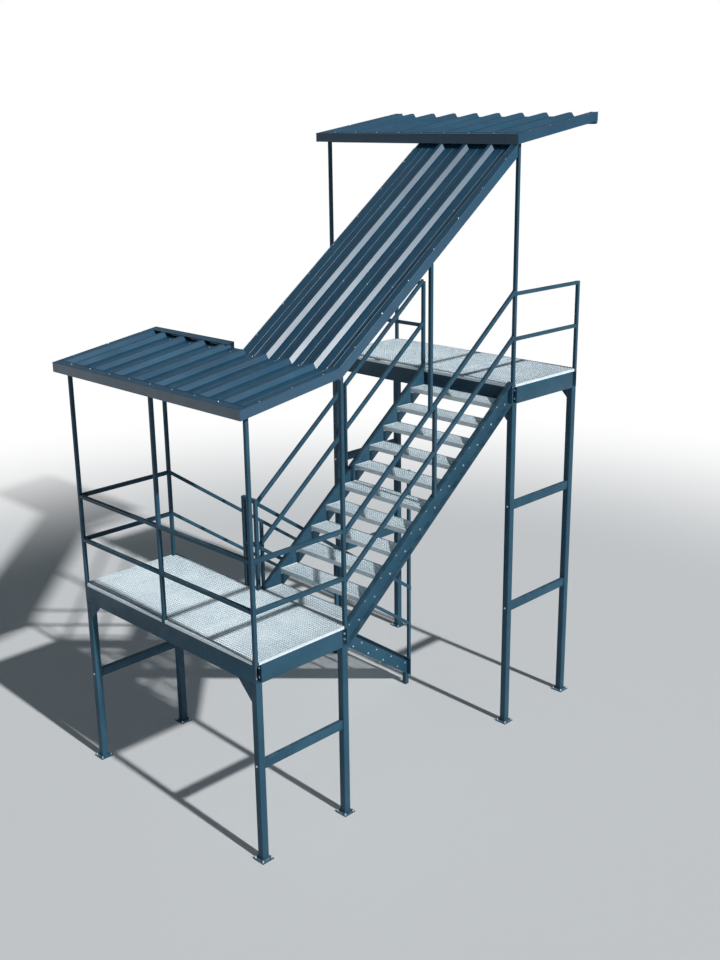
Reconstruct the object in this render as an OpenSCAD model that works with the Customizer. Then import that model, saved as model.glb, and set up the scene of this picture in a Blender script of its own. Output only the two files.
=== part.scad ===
// Roofed fire escape stair: two straight flights side by side, a half-way
// landing on four columns, an upper landing along the wall, railings and
// pitched sheet roofs. X runs along the wall, +Y towards the wall, +Z up.

/* [Stair] */
// Height of one step
rise = 190; // [165:1:205]
// Height of the lowest tread above the ground
first_rise = 320; // [250:5:360]
// Risers from the ground to the lower landing
lower_risers = 11; // [8:1:13]
// Risers from the lower landing to the upper landing
upper_risers = 11; // [8:1:13]
// Going of a step in the lower flight
lower_going = 270; // [240:1:280]
// Going of a step in the upper flight
upper_going = 240; // [225:1:270]
// Overall width of both landings
stair_w = 3000; // [2600:10:3600]
// Clear gap between the two flights
flight_gap = 160; // [100:5:240]
// Depth of a landing
landing_d = 1250; // [1100:10:1500]
// Gap between the lower landing and the level tread of the upper flight
nose_out = 25; // [15:1:40]
// Height of the tall end post of the lower flight above the ground
tall_post_h = 2970; // [2600:10:3200]

/* [Columns and beams] */
// Side of a square column
column_w = 80; // [70:1:100]
// Height of a landing beam
beam_h = 200; // [160:5:240]
// Depth of a landing beam over its flanges
beam_flange = 75; // [60:1:90]
// Plate thickness of beams and stringers
beam_t = 8; // [6:1:12]
// Leg of the corner haunch under a landing beam
haunch = 200; // [120:5:260]
// Height of a cross rail between two columns
cross_h = 100; // [80:5:120]
// Thickness of a cross rail
cross_t = 50; // [40:1:60]
// Middle of the lower cross rails above the ground
cross_low_z = 1085; // [900:5:1300]
// Middle of the middle cross rails above the ground
cross_mid_z = 1535; // [1300:5:1800]
// Middle of the upper cross rails above the ground
cross_high_z = 2835; // [2500:5:3200]
// Side of a base plate
base_w = 150; // [140:1:200]
// Thickness of a base plate
base_t = 12; // [8:1:20]
// Distance between the anchor holes of a base plate
anchor_c = 116; // [112:1:120]
// Diameter of an anchor hole
anchor_d = 14; // [10:1:18]

/* [Decks and treads] */
// Thickness of the landing grating
deck_t = 30; // [25:1:40]
// Grating panels side by side on a landing
deck_panels = 3; // [2:1:4]
// Gap between two grating panels
panel_gap = 5; // [3:1:10]
// Clearance of a cut-out around a post
post_clear = 5; // [3:1:10]
// Thickness of the bars around a landing grating and its cut-outs
edge_bar_t = 4; // [3:1:6]
// Thickness of a bearing bar of a landing grating
bearing_bar_t = 3; // [2:0.5:5]
// Distance between two bearing bars
bearing_pitch = 33; // [30:1:44]
// Distance between two of the bars that tie the bearing bars
tie_pitch = 310; // [250:10:400]
// Depth of a tread from nose to back
tread_d = 260; // [245:1:270]
// Gap between a landing beam and the tread beside it
tread_gap = 10; // [5:1:20]
// How far the lowest nose stands out past the end of the stringers
last_nose = 10; // [5:1:30]
// Thickness of a tread grating
tread_t = 30; // [25:1:40]
// Height of the plate at each end of a tread
cheek_h = 70; // [50:1:90]
// Thickness of the plate at each end of a tread
cheek_t = 4; // [3:1:6]
// Height of the plate along a tread's nose
nose_h = 50; // [35:1:60]

/* [Stringers] */
// Height of a stringer channel
stringer_h = 200; // [180:5:240]
// Width of a stringer channel over its flanges
stringer_w = 75; // [60:1:90]
// Height of the lower stringers' upper edge above the line of the noses
lower_over = 20; // [10:1:60]
// Height of the upper stringers' upper edge above the line of the noses
upper_over = 10; // [0:1:60]
// Thickness of a stringer's end plate
end_t = 10; // [8:1:14]
// Width of the foot under a lower stringer
foot_w = 60; // [50:1:80]
// Gap between that foot and the base plate behind it
foot_gap = 5; // [5:1:20]

/* [Railings] */
// Top of a railing above the deck or the line of the noses
rail_h = 1060; // [950:5:1200]
// Top of the middle rail above the deck or the line of the noses
mid_h = 545; // [450:5:650]
// Side of the square railing and post tube
tube = 40; // [35:1:50]
// Distance from a roof post of the stair to the railing post below it
roof_post_step = 70; // [60:1:120]

/* [Roofs] */
// Height of the lower roof above its deck at the front columns
lower_roof_h = 2578; // [2400:5:2900]
// Height of the upper roof above its deck at the front columns
upper_roof_h = 2781; // [2600:5:3000]
// Pitch of the two flat roofs in degrees
roof_pitch = 8.5; // [5:0.5:12]
// Overhang of the roofs in front of the columns
roof_front = 120; // [90:5:200]
// Overhang of the roofs beside the columns
roof_side = 80; // [60:5:150]
// Distance of the upper roof behind the upper landing
roof_back = 100; // [60:5:150]
// Distance from the back of the landing to the foot of the stair roof
sheet_short = 130; // [110:5:200]
// How far the lower roof sheet ends before its back flashing
sheet_in = 40; // [20:5:60]
// Distance between two ribs of the roof sheet
rib_pitch = 356; // [300:1:380]
// Distance from the left columns' outer face to the first rib
rib_first = 201; // [150:1:260]
// Width of a rib at its top
rib_w = 46; // [36:1:70]
// Width of a rib's sloped side
rib_side = 34; // [20:1:44]
// Height of a rib
rib_h = 44; // [30:1:55]
// Thickness of the roof sheet and flashings
sheet_t = 2; // [1.5:0.5:3]
// Height of the fascia
fascia_h = 100; // [80:5:140]
// Width of the flashing on top of the roof's edge
cap_w = 90; // [70:5:110]
// Width of the flashing along the left edge of the stair roof
fold_w = 130; // [110:5:180]
// Width of the lower roof's back flashing on top of the ribs
back_w = 100; // [80:5:110]
// How far the lower roof's back flashing hangs below the tops of the ribs
back_leg = 155; // [120:5:200]
// Distance between the lower roof's back flashing and the stair roof
back_stop = 250; // [200:10:320]
// Clearance between the stair roof's sheet and the upper roof's sheet above it
roof_gap = 5; // [3:1:20]
// Purlins across the stair roof between its two ends
stair_purlins = 2; // [1:1:4]
// Width of a roof rafter
rafter_w = 40; // [40:1:50]
// Height of a roof rafter
rafter_h = 50; // [40:1:60]
// Height of the upper roof's beams
roof_beam_h = 80; // [70:5:120]

/* [Hidden] */

PAINT = "#33505f";
ZINC = "#c4d3da";
SHEET = "#3f6377";

// levels and places along Y
z1 = first_rise + (lower_risers - 1) * rise;
z2 = z1 + upper_risers * rise;
yb1 = landing_d;
lower_y0 = yb1 + tread_gap + tread_d - lower_going;
upper_y0 = yb1 + nose_out;
deck_nose = upper_y0 + upper_risers * upper_going;
yf2 = deck_nose - upper_going + tread_d + tread_gap;
foot_y = lower_y0 + (lower_risers - 1) * lower_going - last_nose;
yb2 = yf2 + landing_d;
y_min = -roof_front;
y_max = yb2 + roof_back;

// the two flights
flight_w = (stair_w - flight_gap) / 2;
lower_x0 = 0;
upper_x0 = stair_w - flight_w;
lower_slope = rise / lower_going;
upper_slope = rise / upper_going;
lower_stringer_v = stringer_h * sqrt(1 + lower_slope * lower_slope);
upper_stringer_v = stringer_h * sqrt(1 + upper_slope * upper_slope);

foot_back = min(foot_y, yf2 - (base_w - column_w) / 2 - foot_gap);

// roof planes through the tops of the ribs
fall = tan(roof_pitch);
sheet_y1 = yb1 - sheet_short;
eave2_y = yf2 - roof_front;
function lower_roof_z(y) = z1 + lower_roof_h + fall * y;
function upper_roof_z(y) = z2 + upper_roof_h + fall * (y - yf2);
stair_roof_low = lower_roof_z(sheet_y1);
stair_roof_top = upper_roof_z(eave2_y) - fascia_h - 2 * sheet_t;
stair_slope = (stair_roof_top - stair_roof_low) / (eave2_y - sheet_y1);
stair_pitch = atan(stair_slope);
function stair_roof_z(y) = stair_roof_low + stair_slope * (y - sheet_y1);
// vertical distance from the rib tops down to the rafters' upper face
flat_drop = (rib_h + sheet_t) / cos(roof_pitch);
stair_drop = (rib_h + sheet_t) / cos(stair_pitch);
// the stair roof's sheet reaches under the upper roof's sheet, at most to its front beam
stair_roof_y1 = min(yf2 - tube, eave2_y
    + (upper_roof_z(eave2_y) - flat_drop - roof_gap - stair_roof_top) / (stair_slope - fall));
flat_rafter = rafter_h / cos(roof_pitch);
stair_rafter = rafter_h / cos(stair_pitch);
stair_roof_x0 = upper_x0 - sheet_t;
mid_post_x = stair_w / 2;

// lines of the noses
function lower_nose_z(y) = z1 - lower_slope * (y - lower_y0);
function upper_nose_z(y) = z1 + upper_slope * (y - upper_y0);
function lower_edge(y) = lower_nose_z(y) + lower_over;
function upper_edge(y) = upper_nose_z(y) + upper_over;

module place() {
    translate([-stair_w / 2, -(y_min + y_max) / 2, 0]) children();
}

// outline in Y and Z, drawn out along X
module along_x(x0, x1, points) {
    translate([x0, 0, 0]) rotate([90, 0, 90]) linear_extrude(height = x1 - x0) polygon(points);
}

// outline in X and Z, drawn out along Y
module along_y(y0, y1, points) {
    translate([0, y1, 0]) rotate([90, 0, 0]) linear_extrude(height = y1 - y0) polygon(points);
}

module block(x0, x1, y0, y1, z0, z1) {
    translate([x0, y0, z0]) cube([x1 - x0, y1 - y0, z1 - z0]);
}

// sloped bar between two places along Y, its upper edge on a rising line
module sloped_bar(x0, x1, y0, y1, top0, top1, depth) {
    along_x(x0, x1, [[y0, top0 - depth], [y1, top1 - depth], [y1, top1], [y0, top0]]);
}

// post with a level foot or a foot and a head cut to given heights at both faces
module post(x, y0, z_foot0, z_foot1, z_head0, z_head1) {
    along_x(x, x + tube, [[y0, z_foot0], [y0 + tube, z_foot1], [y0 + tube, z_head1], [y0, z_head0]]);
}

module base_plate(x, y) {
    translate([x + column_w / 2, y + column_w / 2, 0]) difference() {
        translate([-base_w / 2, -base_w / 2, 0]) cube([base_w, base_w, base_t]);
        for (sx = [-1, 1], sy = [-1, 1])
            translate([sx * anchor_c / 2, sy * anchor_c / 2, -1])
                cylinder(h = base_t + 2, d = anchor_d, $fn = 32);
    }
}

// the four columns under a landing that starts at y
module columns(y, deck_z) {
    for (x = [0, stair_w - column_w], dy = [0, landing_d - column_w])
        block(x, x + column_w, y + dy, y + dy + column_w, base_t, deck_z - deck_t - beam_h);
}

// the four haunches under the front and back beam of a landing
module landing_haunches(y, deck_z) {
    low = deck_z - deck_t - beam_h;
    for (ya = [y, y + landing_d - beam_t], x = [column_w, stair_w - column_w])
        along_y(ya, ya + beam_t, [[x, low], [x < stair_w / 2 ? x + haunch : x - haunch, low],
            [x, low - haunch]]);
}

// outline of an upright channel: its web at a, its flanges on the side s (1 or -1)
function channel(a, s, low, top) = [[a, low], [a + s * beam_flange, low],
    [a + s * beam_flange, low + beam_t], [a + s * beam_t, low + beam_t],
    [a + s * beam_t, top - beam_t], [a + s * beam_flange, top - beam_t],
    [a + s * beam_flange, top], [a, top]];

// channel beam along X, its web outside; s is 1 for a front beam, -1 for a back beam
module landing_beam(y, s, deck_z) {
    along_x(0, stair_w, channel(y, s, deck_z - deck_t - beam_h, deck_z - deck_t));
}

// the two beams along Y with an end plate at each end
module landing_side_beams(y, deck_z) {
    top = deck_z - deck_t;
    low = top - beam_h;
    y0 = y + beam_flange;
    y1 = y + landing_d - beam_flange;
    for (s = [-1, 1]) {
        x = s > 0 ? 0 : stair_w;
        along_y(y0, y1, channel(x, s, low, top));
        for (ye = [y0, y1 - end_t])
            block(min(x, x + s * beam_flange), max(x, x + s * beam_flange), ye, ye + end_t, low, top);
    }
}

module landing_cross_rails(y, levels) {
    for (z = levels, x = [column_w / 2, stair_w - column_w / 2])
        block(x - cross_t / 2, x + cross_t / 2, y + column_w, y + landing_d - column_w,
            z - cross_h / 2, z + cross_h / 2);
}

// openings of a grating panel between its edge bars, bearing bars along Y and tie bars along X
module grating_openings(x0, x1, y0, y1, z0, z1) {
    columns = round((x1 - x0 - 2 * edge_bar_t) / bearing_pitch);
    rows = round((y1 - y0) / tie_pitch);
    dx = (x1 - x0 - 2 * edge_bar_t) / columns;
    dy = (y1 - y0 - edge_bar_t) / rows;
    for (i = [0 : columns], j = [0 : rows - 1])
        block(i == 0 ? x0 + edge_bar_t : x0 + edge_bar_t + (i - 0.5) * dx + bearing_bar_t / 2,
            i == columns ? x1 - edge_bar_t : x0 + edge_bar_t + (i + 0.5) * dx - bearing_bar_t / 2,
            y0 + edge_bar_t + j * dy, y0 + (j + 1) * dy, z0 - 1, z1 + 1);
}

// grating panels of a landing with cut-outs, each given as [x0, x1, y0, y1]
module deck(y0, y1, deck_z, cuts) {
    w = (stair_w - (deck_panels - 1) * panel_gap) / deck_panels;
    low = deck_z - deck_t;
    difference() {
        for (i = [0 : deck_panels - 1]) {
            x0 = i * (w + panel_gap);
            difference() {
                block(x0, x0 + w, y0, y1, low, deck_z);
                difference() {
                    grating_openings(x0, x0 + w, y0, y1, low, deck_z);
                    for (c = cuts)
                        block(c[0] - edge_bar_t, c[1] + edge_bar_t, c[2] - edge_bar_t,
                            c[3] + edge_bar_t, low - 2, deck_z + 2);
                }
            }
        }
        for (c = cuts) block(c[0], c[1], c[2], c[3], low - 1, deck_z + 1);
    }
}

// cut-outs around posts, from the lists of their left and front edges
function post_cuts(x, y) = [for (i = [0 : len(x) - 1])
    [x[i] - post_clear, x[i] + tube + post_clear, y[i] - post_clear, y[i] + tube + post_clear]];

// sloped channel with its flanges on the side s (1 or -1) and an end plate at both ends;
// x is the outer edge of the flanges, top0 and top1 are its upper edge at y0 and y1
module stringer(x, s, y0, y1, top0, top1, depth) {
    flange = beam_t * depth / stringer_h;
    web = x - s * stringer_w;
    xa = min(x, web);
    xb = max(x, web);
    wa = min(web, web + s * beam_t);
    step = (top1 - top0) / (y1 - y0) * end_t;
    in = flange / 2;
    sloped_bar(xa, xb, y0, y1, top0, top1, flange);
    sloped_bar(xa, xb, y0, y1, top0 - depth + flange, top1 - depth + flange, flange);
    sloped_bar(wa, wa + beam_t, y0, y1, top0 - in, top1 - in, depth - flange);
    sloped_bar(xa, xb, y0, y0 + end_t, top0 - in, top0 + step - in, depth - flange);
    sloped_bar(xa, xb, y1 - end_t, y1, top1 - step - in, top1 - in, depth - flange);
}

// tread with its nose at a place along Y; s is 1 where its back lies towards +Y, -1 towards -Y
module tread(x0, x1, nose, s, z) {
    y0 = min(nose, nose + s * tread_d);
    block(x0, x1, y0, y0 + tread_d, z - tread_t, z);
    block(x0, x1, min(nose, nose + s * cheek_t), max(nose, nose + s * cheek_t), z - nose_h, z);
    for (x = [x0, x1 - cheek_t])
        block(x, x + cheek_t, y0, y0 + tread_d, z - cheek_h, z);
}

// trapezoidal roof sheet, cut plumb at y0 and y1, with ribs at the listed middles and flat
// edges e0 and e1 wide at the level of the ribs, or no raised left edge where e0 is 0;
// z0 is the rib tops' height at y0
module ribbed_sheet(x0, x1, e0, e1, ribs, y0, y1, z0, pitch) {
    h = rib_w / 2;
    length = (y1 - y0) / cos(pitch);
    spare = rib_h + sheet_t;
    top = concat(e0 > 0 ? [[x0, 0], [x0 + e0, 0], [x0 + e0 + rib_side, -rib_h]] : [[x0, -rib_h]],
        [for (c = ribs, p = [[c - h - rib_side, -rib_h], [c - h, 0], [c + h, 0],
            [c + h + rib_side, -rib_h]]) p],
        [[x1 - e1 - rib_side, -rib_h], [x1 - e1, 0], [x1, 0]]);
    intersection() {
        translate([0, y0, z0]) rotate([pitch, 0, 0]) translate([0, length + spare, 0]) rotate([90, 0, 0])
            linear_extrude(height = length + 2 * spare)
                polygon(concat(top, [for (i = [len(top) - 1 : -1 : 0]) top[i] - [0, sheet_t]]));
        block(x0 - 1, x1 + 1, y0, y1, 0, z0 + (y1 - y0) * tan(pitch) + 1);
    }
}

// middles of the ribs that fit between the flat edges of a sheet, each with room for the
// two sloped sides and a valley as wide as one of them
rib_room = 3 * rib_side + rib_w / 2;
function rib_places(x0, x1, e0, e1) = [for (c = [rib_first : rib_pitch : x1])
    if (c > x0 + e0 + rib_room && c < x1 - e1 - rib_room) c];

// sheet over the whole width of a landing, from y0 up to y1; z0 is its rib tops' height at y0
module landing_sheet(y0, y1, z0) {
    x0 = -roof_side + sheet_t;
    x1 = stair_w + roof_side - sheet_t;
    e = cap_w + sheet_t;
    ribbed_sheet(x0, x1, e, e, rib_places(x0, x1, e, e), y0, y1, z0, roof_pitch);
}

// side flashing: a standing leg outside and a flat leg on top, following a roof line
module side_flashing(x, s, w, y0, y1, z0, z1, leg) {
    xa = s > 0 ? x - sheet_t : x;
    sloped_bar(xa, xa + sheet_t, y0, y1, z0 + sheet_t, z1 + sheet_t, leg + sheet_t);
    xb = s > 0 ? x - w : x;
    sloped_bar(xb, xb + w, y0, y1, z0 + sheet_t, z1 + sheet_t, sheet_t);
}

// the two side flashings of a roof over a landing, behind its front flashing at y0;
// z0 is the rib tops' height there, y1 the places where the left and right one end
module landing_side_flashings(y0, z0, y1) {
    for (s = [-1, 1]) {
        x = s < 0 ? -roof_side : stair_w + roof_side;
        ya = y0 + cap_w;
        yb = y0 + sheet_t;
        ye = s < 0 ? y1[0] : y1[1];
        side_flashing(x, s, cap_w, ya, ye, z0 + fall * cap_w, z0 + fall * (ye - y0), fascia_h);
        sloped_bar(min(x, x - s * sheet_t), max(x, x - s * sheet_t), yb, ya,
            z0 + fall * sheet_t, z0 + fall * cap_w, fascia_h);
    }
}

// front flashing: a standing leg in front and a leg that lies on the ribs
module front_flashing(y, z) {
    along_x(-roof_side, stair_w + roof_side, [[y, z - fascia_h], [y + sheet_t, z - fascia_h],
        [y + sheet_t, z + fall * sheet_t], [y + cap_w, z + fall * cap_w],
        [y + cap_w, z + fall * cap_w + sheet_t], [y, z + sheet_t]]);
}

// landings

module base_plates() {
    color(PAINT) place() for (x = [0, stair_w - column_w],
        y = [0, yb1 - column_w, yf2, yb2 - column_w]) base_plate(x, y);
}
module lower_columns() { color(PAINT) place() columns(0, z1); }
module upper_columns() { color(PAINT) place() columns(yf2, z2); }
module haunches() {
    color(PAINT) place() {
        landing_haunches(0, z1);
        landing_haunches(yf2, z2);
    }
}
module lower_front_beam() { color(PAINT) place() landing_beam(0, 1, z1); }
module lower_back_beam() { color(PAINT) place() landing_beam(yb1, -1, z1); }
module upper_front_beam() { color(PAINT) place() landing_beam(yf2, 1, z2); }
module upper_back_beam() { color(PAINT) place() landing_beam(yb2, -1, z2); }
module side_beams() {
    color(PAINT) place() {
        landing_side_beams(0, z1);
        landing_side_beams(yf2, z2);
    }
}
module cross_rails() {
    color(PAINT) place() {
        landing_cross_rails(0, [cross_low_z]);
        landing_cross_rails(yf2, [cross_mid_z, cross_high_z]);
    }
}

// left edges of the railing posts
left_x = 0;
right_x = stair_w - tube;
lower_mid_x = flight_w - tube;
upper_mid_x = upper_x0;
front_mid_x = (stair_w - tube) / 2;

module lower_deck() {
    back = yb1 - tube;
    color(ZINC) place() deck(0, yb1, z1, post_cuts(
        [left_x, front_mid_x, right_x, left_x, right_x, lower_mid_x, upper_mid_x],
        [0, 0, 0, back, back, back, back]));
}

// its front edge reaches over the upper stringers' ends
module upper_deck() {
    back = yb2 - tube;
    color(ZINC) place() deck(deck_nose, yb2, z2, concat(
        post_cuts([left_x, upper_mid_x, right_x, left_x, right_x], [yf2, yf2, yf2, back, back]),
        [for (x = [upper_x0, stair_w - stringer_w])
            [x - post_clear, x + stringer_w + post_clear, deck_nose - post_clear, yf2 + post_clear]]));
}

// flights

module lower_stringers() {
    color(PAINT) place() for (s = [-1, 1])
        stringer(s < 0 ? 0 : flight_w, s, yb1, foot_y, lower_edge(yb1), lower_edge(foot_y),
            lower_stringer_v);
}

module lower_feet() {
    y0 = foot_back - foot_w;
    color(PAINT) place() for (x = [(stringer_w - foot_w) / 2, flight_w - (stringer_w + foot_w) / 2])
        along_x(x, x + foot_w, [[y0, 0], [foot_back, 0],
            [foot_back, lower_edge(foot_back) - lower_stringer_v],
            [y0, lower_edge(y0) - lower_stringer_v]]);
}

module lower_treads() {
    color(ZINC) place() for (k = [1 : lower_risers - 1])
        tread(stringer_w, flight_w - stringer_w, lower_y0 + k * lower_going, -1, z1 - k * rise);
}

module upper_stringers() {
    color(PAINT) place() for (s = [-1, 1])
        stringer(s < 0 ? upper_x0 : stair_w, s, yb1, yf2, upper_edge(yb1), upper_edge(yf2),
            upper_stringer_v);
}

module upper_treads() {
    color(ZINC) place() for (k = [0 : upper_risers - 1])
        tread(upper_x0 + stringer_w, stair_w - stringer_w, upper_y0 + k * upper_going, 1, z1 + k * rise);
}

// railings of the lower landing

function roof_under_low(y) = lower_roof_z(y) - flat_drop - flat_rafter;
function roof_under_stair(y) = stair_roof_z(y) - stair_drop - stair_rafter;

// roof posts at the front and at the back corners, rail posts beside the two flights
module lower_landing_posts() {
    foot = z1 - deck_t;
    back = yb1 - tube;
    color(PAINT) place() {
        for (x = [left_x, front_mid_x, right_x])
            post(x, 0, foot, foot, roof_under_low(0), roof_under_low(tube));
        post(left_x, back, foot, foot, roof_under_low(back), roof_under_low(yb1));
        post(right_x, back, foot, foot, roof_under_stair(back), roof_under_stair(yb1));
        for (x = [lower_mid_x, upper_mid_x])
            post(x, back, foot, foot, z1 + rail_h, z1 + rail_h);
    }
}

// level rails of the landing between its posts, at a height above the deck
module lower_rails(top) {
    z = z1 + top;
    color(PAINT) place() {
        block(left_x + tube, front_mid_x, 0, tube, z - tube, z);
        block(front_mid_x + tube, right_x, 0, tube, z - tube, z);
        block(lower_mid_x + tube, upper_mid_x, yb1 - tube, yb1, z - tube, z);
        for (x = [left_x, right_x])
            block(x, x + tube, tube, yb1 - tube, z - tube, z);
    }
}
module lower_top_rails() { lower_rails(rail_h); }
module lower_mid_rails() { lower_rails(mid_h); }

// railings of the flights

tube_v1 = tube * sqrt(1 + lower_slope * lower_slope);
tube_v2 = tube * sqrt(1 + upper_slope * upper_slope);
lower_post_y = (yb1 + foot_y) / 2;
upper_post_y = (yb1 + yf2) / 2;
foot_post_y = foot_y - tube;

// posts on the stringers, and the tall end post's upper part on the handrail
module lower_flight_posts() {
    color(PAINT) place() {
        for (x = [left_x, lower_mid_x], y = [lower_post_y, foot_post_y])
            post(x, y, lower_edge(y), lower_edge(y + tube), lower_nose_z(y) + rail_h - tube_v1,
                lower_nose_z(y + tube) + rail_h - tube_v1);
        post(lower_mid_x, foot_post_y, lower_nose_z(foot_post_y) + rail_h,
            lower_nose_z(foot_y) + rail_h, tall_post_h, tall_post_h);
    }
}

module lower_flight_handrails() {
    color(PAINT) place() for (x = [left_x, lower_mid_x])
        sloped_bar(x, x + tube, yb1, foot_y, lower_nose_z(yb1) + rail_h,
            lower_nose_z(foot_y) + rail_h, tube_v1);
}

module lower_flight_mid_rails() {
    y = [yb1, lower_post_y, lower_post_y + tube, foot_post_y];
    color(PAINT) place() for (x = [left_x, lower_mid_x], i = [0, 2])
        sloped_bar(x, x + tube, y[i], y[i + 1], lower_nose_z(y[i]) + mid_h,
            lower_nose_z(y[i + 1]) + mid_h, tube_v1);
}

module upper_flight_posts() {
    y = upper_post_y;
    color(PAINT) place() for (x = [upper_mid_x, right_x])
        post(x, y, upper_edge(y), upper_edge(y + tube),
            upper_nose_z(y) + rail_h - tube_v2, upper_nose_z(y + tube) + rail_h - tube_v2);
}

module upper_flight_handrails() {
    color(PAINT) place() for (x = [upper_mid_x, right_x])
        sloped_bar(x, x + tube, yb1, yf2, upper_nose_z(yb1) + rail_h,
            upper_nose_z(yf2) + rail_h, tube_v2);
}

module upper_flight_mid_rails() {
    y = [yb1, upper_post_y, upper_post_y + tube, yf2];
    color(PAINT) place() for (x = [upper_mid_x, right_x], i = [0, 2])
        sloped_bar(x, x + tube, y[i], y[i + 1], upper_nose_z(y[i]) + mid_h,
            upper_nose_z(y[i + 1]) + mid_h, tube_v2);
}

// railings of the upper landing

// roof posts at the front corners, rail posts beside the flight and at the back corners
module upper_landing_posts() {
    foot = z2 - deck_t;
    back = yb2 - tube;
    beam = roof_beam_h / cos(roof_pitch);
    color(PAINT) place() {
        for (x = [left_x, right_x]) {
            post(x, yf2, foot, foot, up_top(yf2) - beam, up_top(yf2 + tube) - beam);
            post(x, back, foot, foot, z2 + rail_h, z2 + rail_h);
        }
        post(upper_mid_x, yf2, foot, foot, z2 + rail_h, z2 + rail_h);
    }
}

module upper_rails(top) {
    z = z2 + top;
    color(PAINT) place() {
        block(left_x + tube, upper_mid_x, yf2, yf2 + tube, z - tube, z);
        for (x = [left_x, right_x])
            block(x, x + tube, yf2 + tube, yb2 - tube, z - tube, z);
    }
}
module upper_top_rails() { upper_rails(rail_h); }
module upper_mid_rails() { upper_rails(mid_h); }

// roof over the lower landing

module flat_rafter_bar(x0, x1, y0, y1, top0, top1) {
    sloped_bar(x0, x1, y0, y1, top0, top1, flat_rafter);
}
function low_top(y) = lower_roof_z(y) - flat_drop;

module lower_roof_purlins() {
    color(PAINT) place() {
        flat_rafter_bar(0, stair_w, 0, rafter_w, low_top(0), low_top(rafter_w));
        flat_rafter_bar(rafter_w, stair_w - rafter_w, sheet_y1 - rafter_w, sheet_y1,
            low_top(sheet_y1 - rafter_w), low_top(sheet_y1));
    }
}

module lower_roof_rafters() {
    color(PAINT) place() {
        flat_rafter_bar(0, rafter_w, rafter_w, yb1, low_top(rafter_w), low_top(yb1));
        flat_rafter_bar(mid_post_x - rafter_w / 2, mid_post_x + rafter_w / 2, rafter_w,
            sheet_y1 - rafter_w, low_top(rafter_w), low_top(sheet_y1 - rafter_w));
        flat_rafter_bar(stair_w - rafter_w, stair_w, rafter_w, sheet_y1,
            low_top(rafter_w), low_top(sheet_y1));
    }
}

// it reaches under its back flashing, and ends at the foot of the stair roof
module lower_roof_sheet() {
    y0 = y_min + sheet_t;
    y1 = yb1 - sheet_in;
    color(SHEET) place() difference() {
        landing_sheet(y0, y1, lower_roof_z(y0));
        block(stair_roof_x0, stair_w + roof_side, sheet_y1, y1 + 1, 0, lower_roof_z(y1) + 1);
    }
}

module lower_roof_end_flashings() {
    under = lower_roof_z(yb1) - back_leg;
    top = lower_roof_z(yb1);
    lap = yb1 - back_w;
    color(SHEET) place() {
        front_flashing(y_min, lower_roof_z(y_min));
        along_x(cap_w - roof_side, stair_roof_x0 - back_stop, [[yb1, under], [yb1 + sheet_t, under],
            [yb1 + sheet_t, top + sheet_t], [lap, lower_roof_z(lap) + sheet_t],
            [lap, lower_roof_z(lap)], [yb1, top]]);
        block(sheet_t - roof_side, cap_w - roof_side, yb1, yb1 + sheet_t, under, top);
    }
}

module lower_roof_side_flashings() {
    color(SHEET) place() landing_side_flashings(y_min, lower_roof_z(y_min), [yb1, sheet_y1]);
}

// roof over the upper flight

module stair_roof_posts() {
    y = upper_post_y - roof_post_step;
    color(PAINT) place() for (x = [upper_mid_x, right_x])
        post(x, y, upper_nose_z(y) + rail_h, upper_nose_z(y + tube) + rail_h,
            roof_under_stair(y), roof_under_stair(y + tube));
}

function stair_top(y) = stair_roof_z(y) - stair_drop;

module stair_roof_rafters() {
    color(PAINT) place() for (x = [upper_mid_x, right_x])
        sloped_bar(x, x + rafter_w, sheet_y1, yf2, stair_top(sheet_y1), stair_top(yf2), stair_rafter);
}

// between the two rafters, at even distances along the slope
module stair_roof_purlins() {
    step = (yf2 - sheet_y1) / (stair_purlins + 1);
    color(PAINT) place() for (k = [1 : stair_purlins]) {
        y = sheet_y1 + k * step;
        sloped_bar(upper_mid_x + rafter_w, right_x, y, y + rafter_w, stair_top(y),
            stair_top(y + rafter_w), stair_rafter);
    }
}

module stair_roof_sheet() {
    x1 = stair_w + roof_side - sheet_t;
    e = cap_w + sheet_t;
    color(SHEET) place() ribbed_sheet(upper_x0, x1, 0, e, rib_places(upper_x0, x1, fold_w, e),
        sheet_y1, stair_roof_y1, stair_roof_low, stair_pitch);
}

// the left one lies between the ribs, the right one on the sheet's raised edge
module stair_roof_flashings() {
    leg = fascia_h / cos(stair_pitch);
    sunk = rib_h / cos(stair_pitch);
    y0 = sheet_y1;
    y1 = eave2_y - sheet_t;
    color(SHEET) place() {
        side_flashing(stair_roof_x0, -1, fold_w, y0, y1, stair_roof_z(y0) - sunk,
            stair_roof_z(y1) - sunk, leg - sunk);
        side_flashing(stair_w + roof_side, 1, cap_w, y0, y1, stair_roof_z(y0), stair_roof_z(y1), leg);
    }
}

// roof over the upper landing

function up_top(y) = upper_roof_z(y) - flat_drop;

module upper_roof_beam() {
    color(PAINT) place() sloped_bar(0, stair_w, yf2, yf2 + tube, up_top(yf2), up_top(yf2 + tube),
        roof_beam_h / cos(roof_pitch));
}

// along the wall, under the whole width of the sheet
module upper_roof_wall_beam() {
    color(PAINT) place() sloped_bar(sheet_t - roof_side, stair_w + roof_side - sheet_t,
        y_max - tube, y_max, up_top(y_max - tube), up_top(y_max), roof_beam_h / cos(roof_pitch));
}

module upper_roof_rafters() {
    y0 = yf2 + tube;
    y1 = y_max - tube;
    color(PAINT) place() for (x = [0, mid_post_x - rafter_w / 2, stair_w - rafter_w])
        flat_rafter_bar(x, x + rafter_w, y0, y1, up_top(y0), up_top(y1));
}

module upper_roof_sheet() {
    y0 = eave2_y + sheet_t;
    color(SHEET) place() landing_sheet(y0, y_max, upper_roof_z(y0));
}

module upper_roof_front_flashing() {
    color(SHEET) place() front_flashing(eave2_y, upper_roof_z(eave2_y));
}

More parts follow.
